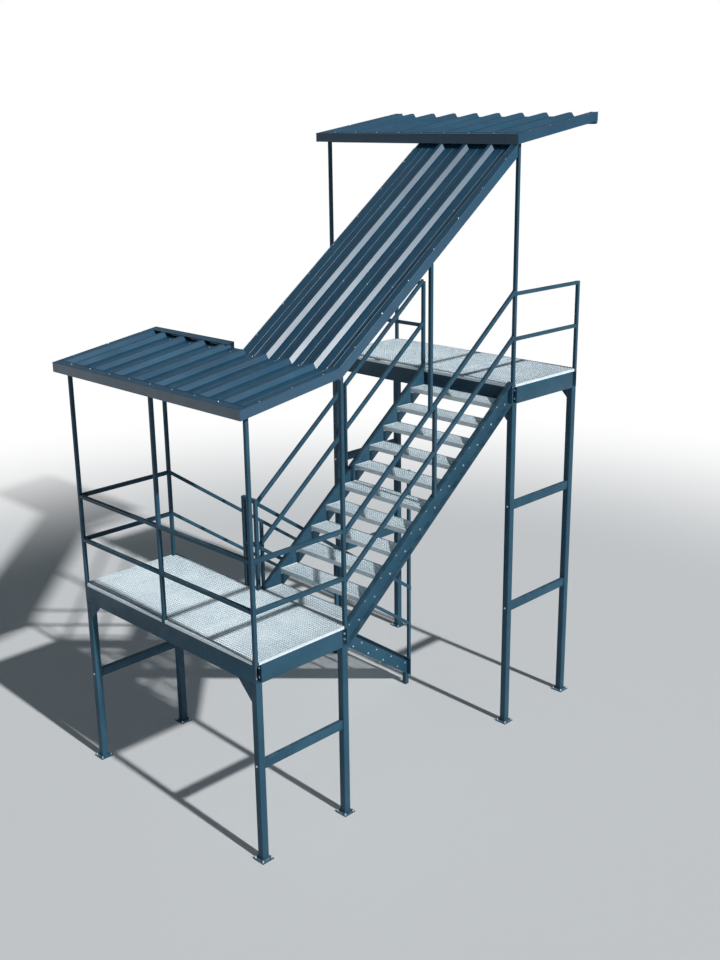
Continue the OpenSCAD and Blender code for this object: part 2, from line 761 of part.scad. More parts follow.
module upper_roof_side_flashings() {
    color(SHEET) place() landing_side_flashings(eave2_y, upper_roof_z(eave2_y), [y_max, y_max]);
}

base_plates();
lower_columns();
upper_columns();
haunches();
lower_front_beam();
lower_back_beam();
upper_front_beam();
upper_back_beam();
side_beams();
cross_rails();
lower_deck();
upper_deck();
lower_stringers();
lower_treads();
lower_feet();
upper_stringers();
upper_treads();
lower_landing_posts();
lower_top_rails();
lower_mid_rails();
lower_flight_posts();
lower_flight_handrails();
lower_flight_mid_rails();
upper_flight_posts();
upper_flight_handrails();
upper_flight_mid_rails();
upper_landing_posts();
upper_top_rails();
upper_mid_rails();
lower_roof_purlins();
lower_roof_rafters();
lower_roof_sheet();
lower_roof_end_flashings();
lower_roof_side_flashings();
stair_roof_posts();
stair_roof_rafters();
stair_roof_purlins();
stair_roof_sheet();
stair_roof_flashings();
upper_roof_beam();
upper_roof_wall_beam();
upper_roof_rafters();
upper_roof_sheet();
upper_roof_front_flashing();
upper_roof_side_flashings();
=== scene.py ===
import math

import bmesh
import bpy
import numpy as np
from bpy.props import FloatProperty, FloatVectorProperty, PointerProperty
from mathutils import Matrix, Vector


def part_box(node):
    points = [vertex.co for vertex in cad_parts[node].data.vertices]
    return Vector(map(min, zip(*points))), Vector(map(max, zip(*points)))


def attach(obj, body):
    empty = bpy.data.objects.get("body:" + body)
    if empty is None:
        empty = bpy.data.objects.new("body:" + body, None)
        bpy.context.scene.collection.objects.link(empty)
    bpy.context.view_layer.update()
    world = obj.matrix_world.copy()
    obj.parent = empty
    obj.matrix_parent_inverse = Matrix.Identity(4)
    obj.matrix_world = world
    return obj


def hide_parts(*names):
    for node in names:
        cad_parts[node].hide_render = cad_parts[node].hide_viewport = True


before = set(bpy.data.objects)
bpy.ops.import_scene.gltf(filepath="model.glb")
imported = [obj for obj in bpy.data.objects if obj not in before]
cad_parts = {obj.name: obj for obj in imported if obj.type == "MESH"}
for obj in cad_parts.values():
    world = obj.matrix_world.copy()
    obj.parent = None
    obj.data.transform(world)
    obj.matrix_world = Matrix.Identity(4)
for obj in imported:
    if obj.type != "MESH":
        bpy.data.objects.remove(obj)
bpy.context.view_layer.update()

bl_info = {
    "name": "Fire Escape Stair",
    "version": (1, 0, 0),
    "blender": (4, 5, 0),
    "location": "3D View > Sidebar > Stair",
    "description": "Gives the stair's frame its painted steel, gratings, roof sheets and fasteners",
    "category": "Object",
}

MM = 0.001

COLUMN_NODES = ("lower_columns", "upper_columns")
CHANNEL_NODES = ("haunches", "lower_front_beam", "lower_back_beam", "upper_front_beam",
                 "upper_back_beam", "side_beams", "lower_stringers", "upper_stringers")
TUBE_NODES = ("cross_rails", "lower_feet", "lower_landing_posts", "lower_top_rails",
              "lower_mid_rails", "lower_flight_posts", "lower_flight_handrails",
              "lower_flight_mid_rails", "upper_flight_posts", "upper_flight_handrails",
              "upper_flight_mid_rails", "upper_landing_posts", "upper_top_rails",
              "upper_mid_rails", "lower_roof_purlins", "lower_roof_rafters",
              "stair_roof_posts", "stair_roof_rafters", "stair_roof_purlins",
              "upper_roof_beam", "upper_roof_wall_beam", "upper_roof_rafters")
SHEET_NODES = ("lower_roof_sheet", "stair_roof_sheet", "upper_roof_sheet")
ROOF_BEARERS = {"lower_roof_sheet": ("lower_roof_purlins",),
                "stair_roof_sheet": ("stair_roof_purlins",),
                "upper_roof_sheet": ("upper_roof_beam", "upper_roof_wall_beam")}
WELDED_NODES = ("cross_rails", "lower_top_rails", "lower_mid_rails", "lower_flight_handrails",
                "lower_flight_mid_rails", "upper_flight_handrails", "upper_flight_mid_rails",
                "upper_top_rails", "upper_mid_rails", "upper_roof_rafters")
FLASHING_NODES = ("lower_roof_end_flashings", "lower_roof_side_flashings",
                  "stair_roof_flashings", "upper_roof_front_flashing",
                  "upper_roof_side_flashings")

# nodes with the width and the segments of their edges' rounding
ROUNDINGS = ((COLUMN_NODES, 7 * MM, 3), (CHANNEL_NODES, 2 * MM, 2), (TUBE_NODES, 4 * MM, 2))
PLATE_ROUNDING = (1.5 * MM, 2)

# sizes of the CAD solids that the pieces here meet or stand for
COLUMN_WIDTH = 80 * MM
WEB = 8 * MM
SHEET = 2 * MM
TREAD_GRATING = 30 * MM
TREAD_PLATE = 4 * MM
NOSE_PLATE_HEIGHT = 50 * MM
END_PLATE_HEIGHT = 70 * MM
ANCHOR_OFFSET = 58 * MM
# corners this close along an axis lie on one face
NEAR = 0.5 * MM

# how far some bars lie below the top of a grating, so that no two faces share a plane
CROSS_DROP = 0.4 * MM
END_DROP = 0.3 * MM
CUT_OUT_DROP = 0.2 * MM
# a cut-out that reaches less than this into a panel gets no bars around it
SLIVER = 5 * MM
# a nosing's buttons: height, depth in the plate, and the two rows as shares of its width
BUTTON_HEIGHT = 1.8 * MM
BUTTON_SINK = 1.6 * MM
BUTTON_ROWS = (0.38, 0.8)

# heights of the fasteners' heads or nuts and of their washers, and their rods
BOLT = {"head_height": 6.4 * MM, "washer_height": 2 * MM, "rod_width": 10 * MM,
        "rod_height": 5 * MM}
NUT = {**BOLT, "head_height": 8.4 * MM, "rod_height": 15 * MM}
ANCHOR = {"head_height": 10 * MM, "washer_height": 2.5 * MM, "rod_height": 24 * MM}
SCREW = {"head_height": 5 * MM, "washer_height": 2 * MM, "rod_width": 5 * MM,
         "rod_height": 3 * MM}

# bolts of a tread: distance from its middle along Y, and below its top
TREAD_BOLT_SIDE = 75 * MM
TREAD_BOLT_DROP = 38 * MM
# bolts through the ends of the side beams and of the stringers, as shares of their height
BEAM_BOLTS = (0.25, 0.75)
STRINGER_BOLTS = (0.3, 0.62)

# roof screws: distance from a landing roof's front edge, from the stair roof's lower edge, from
# a flashing's outer edge, and from its end to its row
FRONT_SCREW = 60 * MM
FOOT_SCREW = 35 * MM
EDGE_SCREW = 14 * MM
ROW_START = 40 * MM
# a roof sheet's raised strip narrower than this is a rib, a wider one an edge
WIDEST_RIB = 70 * MM
# least distance from the middle of a whole valley to a raised strip
VALLEY_ROOM = 45 * MM

WHITE = (1, 1, 1, 1)
# linear colour of the light from all sides, the pale blue of open shade
SKY = (0.78, 0.91, 1, 1)
FLOOR_RADIUS = 60
# distances from the stair's middle between which the floor turns white to the camera
FLOOR_FADE = (7, 16)
# how far the picture's middle lies off the lens's axis, as shares of its longer side
PICTURE_SHIFT = (-0.0033, -0.0198)


def linear(code):
    """A colour written as sRGB hex, as the linear red, green and blue that Blender works in."""
    values = [int(code[i:i + 2], 16) / 255 for i in (1, 3, 5)]
    return [v / 12.92 if v <= 0.04045 else ((v + 0.055) / 1.055) ** 2.4 for v in values]


def length(name, text, default):
    """A length in metres that a user can change."""
    return FloatProperty(name=name, description=text, default=default, min=0, subtype="DISTANCE",
                         unit="LENGTH", precision=4)


def angle(name, text, degrees):
    """An angle that a user can change."""
    return FloatProperty(name=name, description=text, default=math.radians(degrees),
                         subtype="ANGLE", unit="ROTATION")


def colour(name, text, code):
    """A colour that a user can change, its default written as sRGB hex."""
    return FloatVectorProperty(name=name, description=text, default=linear(code), size=3,
                               min=0, max=1, subtype="COLOR")


class GratingSizes(bpy.types.PropertyGroup):
    """Sizes of the gratings on the landings and treads."""
    pitch: length("Mesh", "Distance between two bars of the mesh", 33.3 * MM)
    bar_thickness: length("Bearing bar", "Thickness of a bearing bar", 3 * MM)
    cross_height: length("Cross bar height", "Height of a pressed-in cross bar", 10 * MM)
    cross_thickness: length("Cross bar", "Thickness of a pressed-in cross bar", 2.5 * MM)
    frame_thickness: length("Edge bar", "Thickness of the flat bar round a panel", 4 * MM)
    post_clearance: length("Clearance", "Clearance of a cut-out around a post", 5 * MM)
    nosing_width: length("Nosing", "Width of the plate on a tread's nose", 34 * MM)
    nosing_thickness: length("Nosing plate", "Thickness of the plate on a nose", 3 * MM)
    button_pitch: length("Button pitch", "Distance between the nosing's raised buttons", 20 * MM)
    button_width: length("Button", "Width of a raised button", 8 * MM)


class FastenerSizes(bpy.types.PropertyGroup):
    """Sizes of the bolts, anchors and screws, of the weld beads, and of the roof's folds."""
    bolt_head: length("Bolt head", "Width of a bolt head over its flats", 17 * MM)
    bolt_washer: length("Washer", "Width of the washer of a bolt or an anchor", 24 * MM)
    anchor_nut: length("Anchor nut", "Width of an anchor's nut over its flats", 19 * MM)
    anchor_rod: length("Anchor rod", "Width of an anchor's threaded rod", 12 * MM)
    screw_head: length("Screw head", "Width of a roof screw's head over its flats", 8 * MM)
    screw_washer: length("Screw washer", "Width of the washer under a roof screw", 19 * MM)
    screw_spacing: length("Screw spacing", "Distance between two screws along a flashing",
                          385 * MM)
    swage: length("Swage", "Width of the stiffening bead along a valley of the roof", 12 * MM)
    hem: length("Hem", "Thickness of a flashing's folded edge", 7 * MM)
    weld: length("Weld", "Width of a weld bead", 6 * MM)


class FinishColours(bpy.types.PropertyGroup):
    """Colours of the stair's finishes."""
    paint: colour("Paint", "Powder coating of the frame", "#234659")
    paint_faded: colour("Faded paint", "Powder coating where the sun has chalked it", "#355c70")
    dust: colour("Dust", "Dry mineral dust on level faces", "#7d939e")
    zinc_light: colour("Light zinc", "Bright crystals of the zinc layer", "#eff6f9")
    zinc_dark: colour("Dark zinc", "Dull crystals of the zinc layer", "#c3d4dc")
    sheet: colour("Roof sheet", "Coil coating of the roof sheets", "#083e59")
    sheet_faded: colour("Faded roof sheet", "Coil coating under dried rain marks", "#15526d")
    bolt: colour("Bolts", "Zinc-plated fasteners", "#d9e1e5")


class StageSetup(bpy.types.PropertyGroup):
    """Floor, light and camera."""
    floor: colour("Floor", "Plain pale studio floor", "#d4d6d7")
    sun_strength: FloatProperty(name="Key light", description="Strength of the key light",
                                default=3.8, min=0)
    sun_height: angle("Key height", "Height of the key light above the floor", 34.6)
    sun_side: angle("Key side", "Turn of the key light from the right-hand side to the front", 2)
    sun_size: angle("Key size", "Apparent size of the key light", 1.6)
    sky_strength: FloatProperty(name="Sky", description="Strength of the light from all sides",
                                default=0.15, min=0)
    reflected_backdrop: FloatProperty(name="Reflected backdrop", default=0.1, min=0, max=1,
                                      description="How much of the white backdrop shows in gloss")
    camera_place: FloatVectorProperty(name="Camera", description="Place of the camera",
                                      default=(9.574, -9.145, 7.331), subtype="TRANSLATION",
                                      unit="LENGTH")
    camera_turn: angle("Turn", "Turn of the camera from the front to the right-hand side", 45.03)
    camera_tilt: angle("Tilt", "Tilt of the camera down from level", 16.55)
    camera_roll: angle("Roll", "Roll of the camera around its line of sight", -0.69)
    lens: FloatProperty(name="Lens", description="Focal length on a 36 mm frame", default=44.13,
                        min=1, subtype="DISTANCE_CAMERA", unit="CAMERA")


def add(tree, kind, inputs=None, **settings):
    """Adds a node with its settings and inputs. An input is a value, a socket to link, or a node
    whose first output is linked."""
    made = tree.nodes.new(kind)
    for name, value in settings.items():
        setattr(made, name, value)
    for key, value in (inputs or {}).items():
        if isinstance(value, bpy.types.Node):
            value = value.outputs[0]
        if isinstance(value, bpy.types.NodeSocket):
            tree.links.new(value, made.inputs[key])
        else:
            made.inputs[key].default_value = value
    return made


def new_material(name):
    """An empty node material and its tree."""
    made = bpy.data.materials.new(name)
    made.use_nodes = True
    made.node_tree.nodes.clear()
    return made, made.node_tree


def pattern(tree, scale, detail, levels=None, results=(0, 1), stretch=(1, 1, 1),
            offset=(0, 0, 0)):
    """Noise on Object coordinates in metres, its grain 1 / scale, stretched along the axes. With
    levels, what lies between them is spread smoothly over the results."""
    place = add(tree, "ShaderNodeTexCoord").outputs["Object"]
    moved = add(tree, "ShaderNodeMapping", {"Vector": place, "Scale": stretch, "Location": offset})
    noise = add(tree, "ShaderNodeTexNoise", {"Vector": moved, "Scale": scale, "Detail": detail})
    if not levels:
        return noise
    return add(tree, "ShaderNodeMapRange",
               {"Value": noise, "From Min": levels[0], "From Max": levels[1],
                "To Min": results[0], "To Max": results[1]}, interpolation_type="SMOOTHSTEP")


def rgba(values):
    """A linear colour with full opacity."""
    return (*values, 1.0)


def layer(tree, below, above, cover, share):
    """A colour laid over another, as densely as a pattern says, times a share."""
    dense = add(tree, "ShaderNodeMath", {0: cover, 1: share}, operation="MULTIPLY")
    return add(tree, "ShaderNodeMix", {0: dense, 6: below, 7: rgba(above)},
               data_type="RGBA").outputs[2]


def settled(tree, cover):
    """A pattern as it is on faces that look up, and 0 on walls and undersides."""
    normal = add(tree, "ShaderNodeNewGeometry").outputs["Normal"]
    z = add(tree, "ShaderNodeSeparateXYZ", {0: normal}).outputs[2]
    level = add(tree, "ShaderNodeMapRange", {"Value": z, "From Min": 0.45, "From Max": 0.95},
                interpolation_type="SMOOTHSTEP")
    return add(tree, "ShaderNodeMath", {0: level, 1: cover}, operation="MULTIPLY")


def shade(tree, base, roughness, bump_height, bump_distance, **settings):
    """Principled surface with bump, its plain numbers set on the shader's own sockets."""
    bump = add(tree, "ShaderNodeBump", {"Height": bump_height, "Distance": bump_distance,
                                        "Strength": 1.0})
    shader = add(tree, "ShaderNodeBsdfPrincipled",
                 {"Base Color": base, "Roughness": roughness, "Normal": bump, **settings})
    add(tree, "ShaderNodeOutputMaterial", {0: shader})


def powder_coated_steel(colours, name="powder_coated_steel", dust_share=0.22):
    """Polyester powder on blasted steel: an even satin film with a fine orange peel, paler
    where the sun has chalked it, with faint rain runs and dust on the faces that look up."""
    made, tree = new_material(name)
    chalk = pattern(tree, 2.2, 3, (0.35, 0.72))
    runs = pattern(tree, 30, 2, (0.5, 0.78), stretch=(1, 1, 0.05))
    dust = settled(tree, pattern(tree, 9, 4, (0.3, 0.8), offset=(3, 1, 7)))
    base = layer(tree, rgba(colours.paint), colours.paint_faded, chalk, 0.4)
    base = layer(tree, base, colours.paint_faded, runs, 0.2)
    base = layer(tree, base, colours.dust, dust, dust_share)
    rough = pattern(tree, 6, 3, (0.3, 0.7), (0.42, 0.55), offset=(5, 2, 1))
    # the orange peel of powder has waves about 4 mm long, some hundredths of a millimetre high
    peel = pattern(tree, 1 / (4 * MM), 1)
    shade(tree, base, rough, peel, 0.06 * MM, IOR=1.3)
    return made


def powder_coated_steel_dusty(colours):
    """The same powder on the base plates, where dust from the ground gathers."""
    return powder_coated_steel(colours, "powder_coated_steel_dusty", 0.85)


def galvanised_steel(colours):
    """Hot-dip galvanised steel: zinc crystals of about 10 mm, some bright and some dull, under a
    thin white bloom, so the gratings look pale and slightly blue."""
    made, tree = new_material("galvanised_steel")
    place = add(tree, "ShaderNodeTexCoord").outputs["Object"]
    cells = add(tree, "ShaderNodeTexVoronoi", {"Vector": place, "Scale": 1 / (10 * MM)})
    grain = add(tree, "ShaderNodeSeparateColor", {0: cells.outputs["Color"]})
    bloom = pattern(tree, 3, 4, (0.35, 0.7))
    base = layer(tree, rgba(colours.zinc_dark), colours.zinc_light, grain, 0.8)
    base = layer(tree, base, colours.zinc_light, bloom, 0.5)
    rough = add(tree, "ShaderNodeMapRange", {"Value": grain, "To Min": 0.42, "To Max": 0.6},
                interpolation_type="SMOOTHSTEP")
    shade(tree, base, rough, pattern(tree, 1 / (1.5 * MM), 2), 0.03 * MM, Metallic=0.25)
    return made


def coil_coated_sheet(colours):
    """Coil-coated roof sheet: smooth polyester film on rolled steel, a little glossier than the
    powder, with pale marks of dried rain that run down the slope and a little dust."""
    made, tree = new_material("coil_coated_sheet")
    marks = pattern(tree, 14, 4, (0.42, 0.72), stretch=(1, 0.12, 0.12))
    patches = pattern(tree, 1.6, 3, (0.35, 0.7), offset=(4, 9, 2))
    dust = settled(tree, pattern(tree, 7, 5, (0.45, 0.8), offset=(1, 8, 3)))
    base = layer(tree, rgba(colours.sheet), colours.sheet_faded, marks, 0.35)
    base = layer(tree, base, colours.sheet_faded, patches, 0.35)
    base = layer(tree, base, colours.dust, dust, 0.08)
    rough = pattern(tree, 5, 4, (0.3, 0.7), (0.34, 0.41), stretch=(1, 0.3, 0.3))
    # rolled sheet is never quite flat: shallow waves some 0.3 m long
    waves = pattern(tree, 3.5, 1, offset=(2, 2, 2))
    shade(tree, base, rough, waves, 1.2 * MM, IOR=1.68)
    return made


def zinc_plated_steel(colours):
    """Zinc-plated fasteners: bright thin plating with a fine machined grain and dull spots."""
    made, tree = new_material("zinc_plated_steel")
    dull = pattern(tree, 90, 3, (0.4, 0.7))
    base = layer(tree, rgba(colours.bolt), colours.zinc_dark, dull, 0.5)
    rough = add(tree, "ShaderNodeMapRange", {"Value": dull, "To Min": 0.3, "To Max": 0.5},
                interpolation_type="SMOOTHSTEP")
    shade(tree, base, rough, pattern(tree, 1 / (0.6 * MM), 1), 0.02 * MM, Metallic=0.85)
    return made


def material(maker):
    """The material that a function of the same name makes, made once and then reused."""
    found = bpy.data.materials.get(maker.__name__)
    return found or maker(bpy.context.scene.stair_colours)


def linked(name, data):
    """A new object of the scene."""
    made = bpy.data.objects.new(name, data)
    bpy.context.scene.collection.objects.link(made)
    return made


def put(name, mesh, finish, slot, *replaced):
    """Makes a finished piece: linked, given its finish, fixed to the stair's body."""
    piece = linked(name, mesh)
    mesh.materials.clear()
    mesh.materials.append(finish)
    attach(piece, "root")
    if replaced:
        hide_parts(*replaced)


def merged(node):
    """A CAD node's mesh as one bmesh with its doubles merged."""
    form = bmesh.new()
    form.from_mesh(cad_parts[node].data)
    bmesh.ops.remove_doubles(form, verts=form.verts, dist=0.01 * MM)
    if not form.verts:
        raise RuntimeError(f"{node} has no mesh")
    return form


def corners(node):
    """The corner points of each separate solid of a CAD node."""
    form = merged(node)
    # a dict keeps its order, so the solids come in the same order in every run
    left, groups = dict.fromkeys(form.verts), []
    while left:
        stack, places = [left.popitem()[0]], []
        while stack:
            vert = stack.pop()
            places.append(tuple(vert.co))
            for edge in vert.link_edges:
                other = edge.other_vert(vert)
                if other in left:
                    del left[other]
                    stack.append(other)
        groups.append(np.array(places))
    form.free()
    return groups


def solids(node):
    """The lowest and highest corner of each separate solid of a CAD node."""
    boxes = [(Vector(places.min(0)), Vector(places.max(0))) for places in corners(node)]
    return sorted(boxes, key=lambda box: tuple(round(v, 4) for v in box[0]))


def end_loops(node):
    """The closed outline of both ends of each bar of a CAD node."""
    loops = []
    for places in corners(node):
        axis = int(np.argmax(places.max(0) - places.min(0)))
        across = [i for i in range(3) if i != axis]
        for end in (places[:, axis].min(), places[:, axis].max()):
            ring = places[abs(places[:, axis] - end) < NEAR]
            middle = ring.mean(0)
            angles = np.arctan2(ring[:, across[1]] - middle[across[1]],
                                ring[:, across[0]] - middle[across[0]])
            ring = ring[np.argsort(angles)]
            loops.append([*map(tuple, ring), tuple(ring[0])])
    return loops


def edge_line(places, axis, value):
    """The top line of a folded sheet along one of its sides, where an axis has a given value."""
    near = places[abs(places[:, axis] - value) < NEAR]
    along = near[:, 1 - axis]
    return [tuple(max(near[abs(along - end) < NEAR], key=lambda p: p[2]))
            for end in (along.min(), along.max())]


def reach(node, x):
    """Where a roof sheet starts and ends along Y at an X, found with rays from above."""
    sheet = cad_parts[node]
    low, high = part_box(node)
    hits = [y for y in np.arange(low.y + 2 * MM, high.y, 4 * MM)
            if sheet.ray_cast((x, y, high.z + 1), (0, 0, -1))[0]]
    return hits[0], hits[-1]


def plain(seed):
    """The evaluated mesh of an object, whose object is then removed."""
    bpy.context.view_layer.update()
    graph = bpy.context.evaluated_depsgraph_get()
    result = bpy.data.meshes.new_from_object(seed.evaluated_get(graph), depsgraph=graph)
    result.name = seed.name
    bpy.data.objects.remove(seed)
    if not len(result.polygons):
        raise RuntimeError(f"{result.name} came out empty")
    return result


def rounded_copy(node, name, width, segments, finish):
    """Makes a CAD node's copy with its edges rounded, which stands for the node."""
    form = merged(node)
    bmesh.ops.dissolve_limit(form, angle_limit=math.radians(0.5), verts=form.verts,
                             edges=form.edges)
    mesh = bpy.data.meshes.new(name)
    form.to_mesh(mesh)
    form.free()
    for polygon in mesh.polygons:
        polygon.use_smooth = True
    seed = linked(name + "_seed", mesh)
    bevel = seed.modifiers.new("Rounded edges", "BEVEL")
    bevel.width = width
    bevel.segments = segments
    bevel.limit_method = "ANGLE"
    bevel.angle_limit = math.radians(30)
    bevel.harden_normals = True
    put(name, plain(seed), finish, "frame_paint", node)


def new_tree(name, **sizes):
    """A Geometry Nodes tree with sizes and a material as inputs, and its input node's sockets."""
    tree = bpy.data.node_groups.new(name, "GeometryNodeTree")
    for way in ("OUTPUT", "INPUT"):
        tree.interface.new_socket("Geometry", in_out=way, socket_type="NodeSocketGeometry")
    for key, default in sizes.items():
        socket = tree.interface.new_socket(key.replace("_", " ").capitalize(), in_out="INPUT",
                                           socket_type="NodeSocketFloat")
        socket.default_value = default
    tree.interface.new_socket("Material", in_out="INPUT", socket_type="NodeSocketMaterial")
    return tree, add(tree, "NodeGroupInput").outputs


def close_tree(tree, geometry, finish):
    """Ends a tree: instances made real, material set."""
    real = add(tree, "GeometryNodeRealizeInstances", {0: geometry})
    painted = add(tree, "GeometryNodeSetMaterial", {0: real, "Material": finish})
    add(tree, "NodeGroupOutput", {0: painted})
    return tree


def grow(maker, name, mesh, finish, slot, *replaced, **sizes):
    """Makes the piece that a tree grows on a mesh. The tree is named for its maker, is made once,
    and gets its sizes before it runs."""
    tree = bpy.data.node_groups.get(maker.__name__) or maker()
    sizes["material"] = finish
    seed = linked(name, mesh)
    modifier = seed.modifiers.new(tree.name, "NODES")
    modifier.node_group = tree
    for item in tree.interface.items_tree:
        key = item.name.lower().replace(" ", "_")
        if key in sizes:
            modifier[item.identifier] = sizes[key]
    put(name, plain(seed), finish, slot, *replaced)


def points(name, places, **values):
    """A mesh of points with named values, one number or vector for each point."""
    mesh = bpy.data.meshes.new(name)
    mesh.from_pydata(places, [], [])
    for key, numbers in values.items():
        vector = np.ndim(numbers[0]) > 0
        layer = mesh.attributes.new(key, "FLOAT_VECTOR" if vector else "FLOAT", "POINT")
        layer.data.foreach_set("vector" if vector else "value",
                               np.array(numbers, np.float32).ravel())
    return mesh


def flat_bars():
    """Each point becomes one flat bar: its length and turn come with the point, its top is at the
    point's height."""
    tree, given = new_tree("flat_bars", thickness=3 * MM, height=30 * MM)
    bar = add(tree, "GeometryNodeMeshCube", {"Size": (1, 1, 1)})
    half = add(tree, "ShaderNodeMath", {0: given["Height"], 1: -0.5}, operation="MULTIPLY")
    drop = add(tree, "ShaderNodeCombineXYZ", {"Z": half})
    lowered = add(tree, "GeometryNodeSetPosition", {"Geometry": given["Geometry"], "Offset": drop})
    long = add(tree, "GeometryNodeInputNamedAttribute", {"Name": "bar_length"}, data_type="FLOAT")
    turn = add(tree, "GeometryNodeInputNamedAttribute", {"Name": "bar_turn"}, data_type="FLOAT")
    size = add(tree, "ShaderNodeCombineXYZ", {"X": long, "Y": given["Thickness"],
                                              "Z": given["Height"]})
    spin = add(tree, "ShaderNodeCombineXYZ", {"Z": turn})
    placed = add(tree, "GeometryNodeInstanceOnPoints",
                 {"Points": lowered, "Instance": bar, "Rotation": spin, "Scale": size})
    return close_tree(tree, placed, given["Material"])


def disc(tree, sides, width, height, foot, widen=1.0):
    """A drum that stands on a height, its width over its corners widened by a factor."""
    radius = add(tree, "ShaderNodeMath", {0: width, 1: widen / 2}, operation="MULTIPLY")
    drum = add(tree, "GeometryNodeMeshCylinder", {"Vertices": sides, "Radius": radius,
                                                  "Depth": height})
    middle = add(tree, "ShaderNodeMath", {0: height, 1: 0.5, 2: foot}, operation="MULTIPLY_ADD")
    up = add(tree, "ShaderNodeCombineXYZ", {"Z": middle})
    return add(tree, "GeometryNodeTransform", {"Geometry": drum, "Translation": up})


def hexagon_fasteners():
    """Each point becomes a hexagon head or nut on a washer with a rod through it, facing the way
    that comes with the point and turned by chance around it."""
    tree, given = new_tree("hexagon_fasteners", head_width=17 * MM, head_height=7 * MM,
                           washer_width=24 * MM, washer_height=2 * MM, rod_width=10 * MM,
                           rod_height=6 * MM)
    across_corners = 1 / math.cos(math.pi / 6)
    head = disc(tree, 6, given["Head width"], given["Head height"], given["Washer height"],
                across_corners)
    washer = disc(tree, 20, given["Washer width"], given["Washer height"], 0.0)
    rod = disc(tree, 12, given["Rod width"], given["Rod height"], 0.0)
    whole = add(tree, "GeometryNodeJoinGeometry")
    for part in (rod, washer, head):
        tree.links.new(part.outputs[0], whole.inputs[0])
    facing = add(tree, "GeometryNodeInputNamedAttribute", {"Name": "facing"},
                 data_type="FLOAT_VECTOR")
    aligned = add(tree, "FunctionNodeAlignRotationToVector", {"Vector": facing}, axis="Z")
    # a sixth of a turn brings a hexagon back onto itself
    chance = add(tree, "FunctionNodeRandomValue", {"Min": (0, 0, 0), "Max": (0, 0, 1.05),
                                                   "Seed": 5}, data_type="FLOAT_VECTOR")
    spin = add(tree, "FunctionNodeRotateRotation", {0: aligned, 1: chance},
               rotation_space="LOCAL")
    placed = add(tree, "GeometryNodeInstanceOnPoints",
                 {"Points": given["Geometry"], "Instance": whole, "Rotation": spin})
    return close_tree(tree, placed, given["Material"])


def raised_buttons():
    """Each point becomes a low round button with sloping sides."""
    tree, given = new_tree("raised_buttons", width=8 * MM, height=2 * MM)
    foot = add(tree, "ShaderNodeMath", {0: given["Width"], 1: 0.5}, operation="MULTIPLY")
    crown = add(tree, "ShaderNodeMath", {0: given["Width"], 1: 0.33}, operation="MULTIPLY")
    cone = add(tree, "GeometryNodeMeshCone", {"Vertices": 8, "Radius Top": crown,
                                              "Radius Bottom": foot, "Depth": given["Height"]})
    placed = add(tree, "GeometryNodeInstanceOnPoints", {"Points": given["Geometry"],
                                                        "Instance": cone})
    return close_tree(tree, placed, given["Material"])


def round_beads():
    """Each edge of a mesh becomes a round bead of the given radius."""
    tree, given = new_tree("round_beads", radius=4 * MM)
    line = add(tree, "GeometryNodeMeshToCurve", {"Mesh": given["Geometry"]})
    ring = add(tree, "GeometryNodeCurvePrimitiveCircle", {"Resolution": 8,
                                                          "Radius": given["Radius"]})
    bead = add(tree, "GeometryNodeCurveToMesh", {"Curve": line, "Profile Curve": ring,
                                                 "Fill Caps": True})
    return close_tree(tree, bead, given["Material"])


def beads(name, lines, radius, finish, slot):
    """Makes beads along lines, each a list of points, closed where its first one comes last."""
    mesh = bpy.data.meshes.new(name)
    places, edges = [], []
    for line in lines:
        closed = line[0] == line[-1]
        own = line[:-1] if closed else line
        first = len(places)
        places += own
        edges += [(first + i, first + i + 1) for i in range(len(own) - 1)]
        if closed:
            edges.append((first + len(own) - 1, first))
    mesh.from_pydata(places, edges, [])
    grow(round_beads, name, mesh, finish, slot, radius=radius)


def gaps_cut(low, high, holes):
    """What is left of the stretch from low to high once the holes are cut out."""
    parts = [(low, high)]
    for a, b in holes:
        parts = [piece for p, q in parts for piece in ((p, min(q, a)), (max(p, b), q))
                 if piece[1] - piece[0] > MM]
    return parts


def evenly(low, high, pitch):
    """Places at about the pitch between two ends, half a pitch or less from each."""
    count = max(1, round((high - low) / pitch))
    step = (high - low) / count
    return [low + (i + 0.5) * step for i in range(count)]


def bar_points(bars, name):
    """The mesh of points for bars listed as (axis, across, start, end, top)."""
    places, lengths, turns = [], [], []
    for axis, across, start, end, top in bars:
        middle = (start + end) / 2
        places.append((middle, across, top) if axis == "x" else (across, middle, top))
        lengths.append(end - start)
        turns.append(0.0 if axis == "x" else math.pi / 2)
    return points(name, places, bar_length=lengths, bar_turn=turns)


def put_bars(node, groups, sections):
    """Makes a node's parts from its panels' or treads' bars, at their thicknesses and heights."""
    for part, (thickness, height) in sections.items():
        name = f"{node}_{part}"
        bars = [bar for group in groups for bar in group[part]]
        grow(flat_bars, name, bar_points(bars, name), material(galvanised_steel),
             "galvanised_grating", node, thickness=thickness, height=height)


